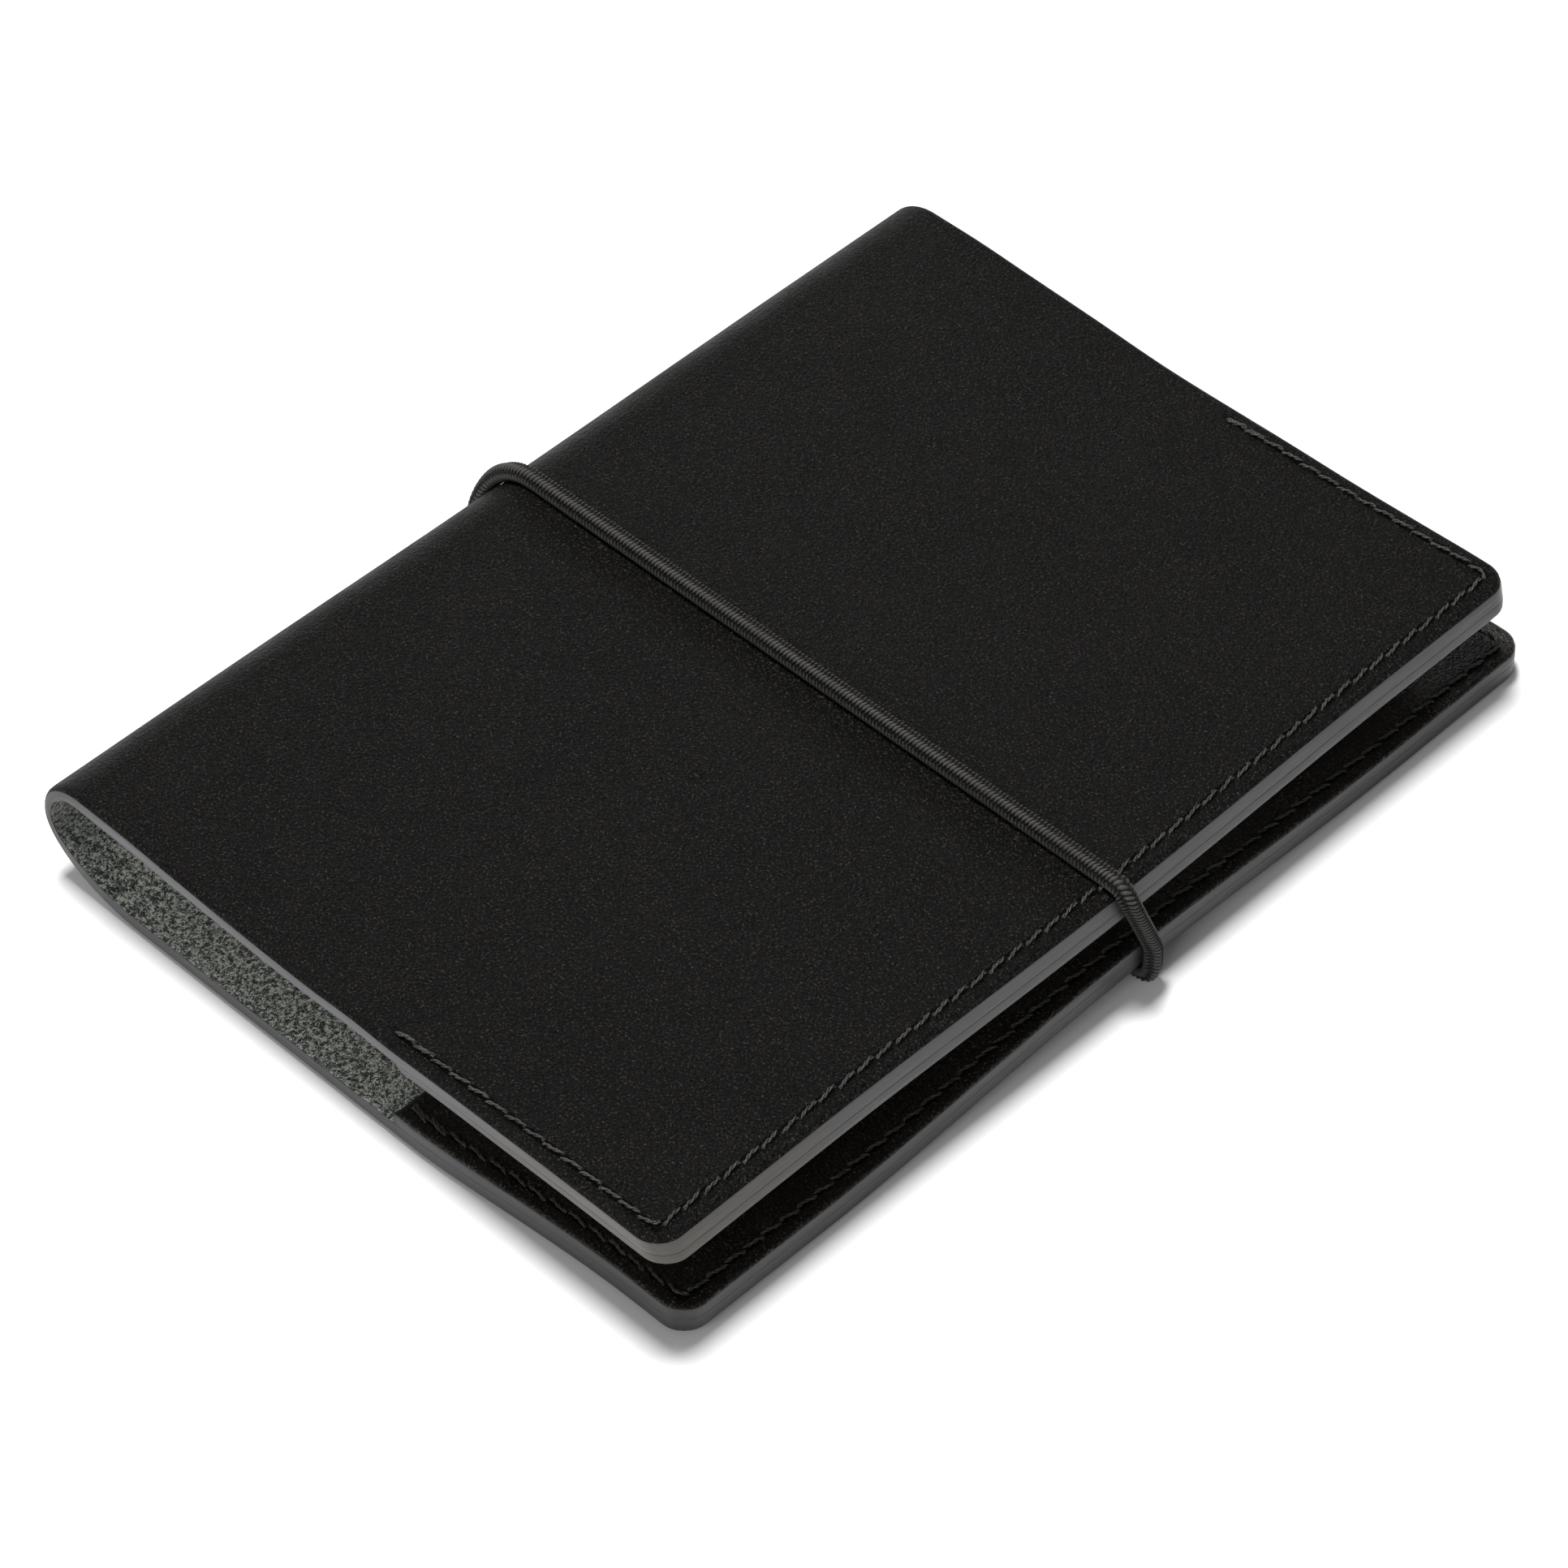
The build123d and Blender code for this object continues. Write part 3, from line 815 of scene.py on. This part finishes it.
def stitches(name, body, fore_edge, mouth, depth, outward):
    """A seam's stitches on one face, each of two twisted plies that dip into its holes. The two
    at each end of the seam are doubled."""
    line = seam_line(fore_edge, mouth)
    along = np.concatenate([[0], np.cumsum(np.hypot(*np.diff(line, axis=0).T))])
    count = round(along[-1] / stitch_pitch)
    holes = np.linspace(0, along[-1], count + 1)
    spans = [(holes[i], holes[i + 1], 0.0) for i in range(count)]
    spans += [(holes[i], holes[i + 1], double_aside) for i in (0, 1, count - 2, count - 1)]
    t = np.linspace(0, 1, 13)
    paths = []
    for first, last, aside in spans:
        a = first + (last - first) * (-stitch_overrun + (1 + 2 * stitch_overrun) * t)
        s, y = np.interp(a, along, line[:, 0]), np.interp(a, along, line[:, 1])
        ds = np.interp(a + 0.1, along, line[:, 0]) - np.interp(a - 0.1, along, line[:, 0])
        dy = np.interp(a + 0.1, along, line[:, 1]) - np.interp(a - 0.1, along, line[:, 1])
        size = np.hypot(ds, dy)
        wobble = 0.06 * np.sin(9 * t + random.uniform(0, 6))
        lean = aside + stitch_slant * (1 - 2 * t) + wobble + random.normal(0, 0.04)
        s, y = s - dy / size * lean, y + ds / size * lean
        arch = np.sqrt(np.clip(1 - (2 * t - 1) ** 4, 0, 1))
        rise = -stitch_sink + (stitch_rise + random.normal(0, 0.04)) * arch
        start_turn = random.uniform(0, math.pi)
        for ply in (0, 1):
            turn = start_turn + ply * math.pi + t * 2 * math.pi * ply_turns
            side, up = ply_aside * np.cos(turn), ply_up * np.sin(turn)
            height = depth + outward * (rise + up)
            paths.append(place(s - dy / size * side, y + ds / size * side, height))
    points, faces = tubes(paths, ply_radius)
    obj = add_mesh(name, points, faces, [thread])
    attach(obj, body)
    return obj


inner_front = sheet_thick + front_panel_thick
inner_back = sheet_thick + back_panel_thick
thread_front = stitches("thread_front_outer", "front", 0, front_panel_at, 0.0, -1)
thread_back = stitches("thread_back_outer", "back", sheet_end, back_panel_at, 0.0, -1)
stitches("thread_front_inner", "front", 0, front_panel_at, inner_front, 1)
stitches("thread_back_inner", "back", sheet_end, back_panel_at, inner_back, 1)
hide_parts("front_stitching")
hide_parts("back_stitching")


# ---- elastic ----
cord_stand = 0.1            # the braid's crowns stand this far out of the cord's radius
groove_depth = 0.46
strands = 4                 # in each direction
lead = 2.1                  # along the cord for one turn of a strand
groove_turn = math.radians(-34)


def taut_loop():
    """Closed (x, z) line of the cord's centre, the tight loop round the cover's section at its
    place, with the length to each of its points."""
    face_inset, edge_inset, edge_top = 0.4, 0.05, 0.9
    front_edge_bottom, back_edge_bottom = 3.0, 3.9
    s = np.linspace(face_inset, sheet_end - face_inset, 900)
    y = np.full_like(s, cord_y)
    outline = place(s, y, cord_dent(s, y))[:, [0, 2]]
    cut_edges = [
        place(at, cord_y, depth)[[0, 2]]
        for at, bottom in (
            (edge_inset, front_edge_bottom), (sheet_end - edge_inset, back_edge_bottom)
        )
        for depth in (edge_top, bottom)
    ]
    cloud = sorted(map(tuple, np.vstack([outline, cut_edges]).tolist()))
    sides = []
    for points in (cloud, cloud[::-1]):
        chain = []
        for p in points:
            while len(chain) > 1:
                (ax, az), (bx, bz) = chain[-2], chain[-1]
                if (bx - ax) * (p[1] - az) - (bz - az) * (p[0] - ax) > 0:
                    break
                chain.pop()
            chain.append(p)
        sides += chain[:-1]
    hull = np.array(sides)
    clear = 0.02
    offset = cord_radius + clear
    angles = np.linspace(0, 2 * math.pi, 721)[:-1]
    way = np.stack([np.cos(angles), np.sin(angles)], 1)
    tip = hull[np.argmax(hull @ way.T, axis=0)]
    rounded = tip + way * offset
    closed = np.vstack([rounded, rounded[:1]])
    length = np.concatenate([[0], np.cumsum(np.hypot(*np.diff(closed, axis=0).T))])
    return closed, length


def elastic_mesh():
    """Points and faces of the braided cord, and how far up its strands each point lies."""
    closed, length = taut_loop()
    total = length[-1]
    lean_from, lean_height = 16.5, 11.0     # below this height the cord leans, over this drop
    underside = 2.5                         # below this it is the run underneath
    drop = ease((lean_from - closed[:, 1]) / lean_height)
    lean = np.where(closed[:, 0] < 0, cord_y_spine - cord_y, cord_y_fore - cord_y)
    share = np.clip((closed[:, 0] - back_start) / (back_end - back_start), 0, 1)
    under = cord_y_spine - cord_y + (cord_y_fore - cord_y_spine) * share
    lean = np.where(closed[:, 1] < underside, under, lean)
    line_y = cord_y + lean * drop
    spacing = 0.082
    rows = int(total / spacing)
    at = np.arange(rows) * total / rows
    window = 31
    kernel = np.hanning(window + 2)[1:-1]
    kernel /= kernel.sum()
    pad = window // 2

    def smoothed(values):
        v = np.interp(at, length, values)
        return np.convolve(np.concatenate([v[-pad:], v, v[:pad]]), kernel, "valid")

    centre = np.stack([smoothed(closed[:, 0]), smoothed(line_y), smoothed(closed[:, 1])], 1)
    tangent = np.roll(centre, -1, 0) - np.roll(centre, 1, 0)
    tangent /= np.linalg.norm(tangent, axis=1, keepdims=True)
    side = np.array([0.0, 1.0, 0.0])
    outward = np.cross(side, tangent)

    around = 56
    turns = round(total / lead)
    theta = np.arange(around) * 2 * math.pi / around
    grid_turn, grid_at = theta[None, :], (at / total)[:, None]
    one = strands * (grid_turn / (2 * math.pi) + grid_at * turns)
    two = strands * (grid_turn / (2 * math.pi) - grid_at * turns)
    over = np.sin(math.pi / 2 * (one + two) - strands * groove_turn)
    first = np.abs(np.cos(math.pi * one)) ** 0.8 + 0.9 * over
    second = np.abs(np.cos(math.pi * two)) ** 0.8 - 0.9 * over
    crown = np.maximum(first, second)
    crown = (crown - crown.min()) / (crown.max() - crown.min())
    radius = cord_radius + cord_stand - groove_depth * (1 - crown)
    points = (
        centre[:, None, :]
        + radius[..., None] * np.cos(grid_turn)[..., None] * outward[:, None, :]
        + radius[..., None] * np.sin(grid_turn)[..., None] * side
    )
    i, j = np.meshgrid(np.arange(rows), np.arange(around), indexing="ij")
    a = i * around + j
    b = i * around + (j + 1) % around
    c = ((i + 1) % rows) * around + (j + 1) % around
    d = ((i + 1) % rows) * around + j
    faces = np.stack([a.ravel(), d.ravel(), c.ravel(), b.ravel()], 1)
    return points.reshape(-1, 3), faces, crown.ravel()


points, faces, crown = elastic_mesh()
elastic = add_mesh("elastic_braid", points, faces, [braid], fields={"crown": crown})
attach(elastic, "elastic")
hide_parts("elastic_loop")


# ---- refill ----
def leaf_stack(name, node, body, sheets):
    """A block of leaves, each a thin sheet a little longer or shorter than the next."""
    leaf_gap = 0.012            # kept clear above and below each leaf
    swell = 0.25                # the middle leaves reach this much further than the outer ones
    low, high = box_mm(node)
    step = (high[2] - low[2]) / sheets
    points, faces = [], []
    nx, ny = 10, 12
    for k in range(sheets):
        first = len(points)
        reach = high[0] - swell * abs(2 * k / sheets - 1) * random.uniform(0.5, 1)
        trim = random.uniform(0, 0.08)
        for z in (low[2] + k * step + leaf_gap, low[2] + (k + 1) * step - leaf_gap):
            for i in range(nx + 1):
                for j in range(ny + 1):
                    x = low[0] + (reach - low[0]) * i / nx
                    y = (low[1] + trim) + (high[1] - low[1] - 2 * trim) * j / ny
                    points.append((x, y, z))
        layer = (nx + 1) * (ny + 1)
        for i in range(nx):
            for j in range(ny):
                a = first + i * (ny + 1) + j
                faces.append((a, a + 1, a + ny + 2, a + ny + 1))
                a += layer
                faces.append((a, a + ny + 1, a + ny + 2, a + 1))
        loop = [(0, j) for j in range(ny)] + [(i, ny) for i in range(nx)]
        loop += [(nx, j) for j in range(ny, 0, -1)] + [(i, 0) for i in range(nx, 0, -1)]
        ids = [first + i * (ny + 1) + j for i, j in loop]
        for a, b in zip(ids, ids[1:] + ids[:1]):
            faces.append((b, a, a + layer, b + layer))
    obj = add_mesh(name, points, faces, [page_paper])
    obj.data.shade_flat()
    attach(obj, body)
    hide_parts(node)


leaf_stack("leaves_lower", "refill_lower_pages", "back", 14)
leaf_stack("leaves_upper", "refill_upper_pages", "upper_pages", 14)


def dress(node, material):
    """Give a CAD node that stays as it is a material."""
    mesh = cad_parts[node].data
    mesh.materials.clear()
    mesh.materials.append(material)


for node in ("refill_leaf_a", "refill_leaf_b"):
    dress(node, page_paper)
for node in ("refill_front_card", "refill_back_card"):
    dress(node, card_paper)
dress("refill_staples", wire)

# ---- floor, light and camera ----
floor_mesh = bpy.data.meshes.new("floor")
floor_half = 3.0
corners = [(x * floor_half, y * floor_half, 0) for x, y in ((-1, -1), (1, -1), (1, 1), (-1, 1))]
floor_mesh.from_pydata(corners, [], [(0, 1, 2, 3)])
floor = bpy.data.objects.new("floor", floor_mesh)
bpy.context.scene.collection.objects.link(floor)
floor_graph = Graph("floor_white")
floor_graph.set(Base_Color=(0.92, 0.92, 0.92, 1), Roughness=0.9, Specular_IOR_Level=0.1)
floor_mesh.materials.append(floor_graph.material)

world = bpy.data.worlds.new("studio")
world.use_nodes = True
world.node_tree.nodes["Background"].inputs["Color"].default_value = (1, 1, 1, 1)
world.node_tree.nodes["Background"].inputs["Strength"].default_value = 0.14
bpy.context.scene.world = world
bpy.context.scene.view_settings.view_transform = "Standard"


def soft_light(name, place_at, aim, size, power):
    """Area light; sizes in metres and power in watts."""
    data = bpy.data.lights.new(name, "AREA")
    data.shape = "RECTANGLE"
    data.size, data.size_y = size
    data.energy = power
    lamp = bpy.data.objects.new(name, data)
    lamp.location = place_at
    lamp.rotation_euler = (Vector(aim) - Vector(place_at)).to_track_quat("-Z", "Y").to_euler()
    bpy.context.scene.collection.objects.link(lamp)


soft_light("overhead", (-0.24, 0.03, 1.25), (0, 0, 0), (0.30, 0.30), 19)
soft_light("near_fill", (0.2, -1.1, 0.55), (0, 0, 0), (0.8, 0.5), 5)
soft_light("fore_fill", (1.1, -0.2, 0.55), (0, 0, 0), (0.8, 0.5), 0.6)
soft_light("spine_rim", (-0.75, 0.55, 0.28), (-0.05, 0.05, 0.01), (0.5, 0.2), 1.5)

# Lens and place were solved from the corners and edges of both covers in the photograph.
camera_data = bpy.data.cameras.new("camera")
camera_data.sensor_width = 36
camera_data.lens = 127.19
camera = bpy.data.objects.new("camera", camera_data)
right = Vector((0.7128, 0.7013, -0.0088))
up = Vector((-0.5054, 0.5223, 0.6869))
backward = Vector((0.4863, -0.4851, 0.7267))
camera.matrix_world = Matrix.Translation((0.31505, -0.3157, 0.4699)) @ Matrix(
    (right, up, backward)
).transposed().to_4x4()
bpy.context.scene.collection.objects.link(camera)
bpy.context.scene.camera = camera
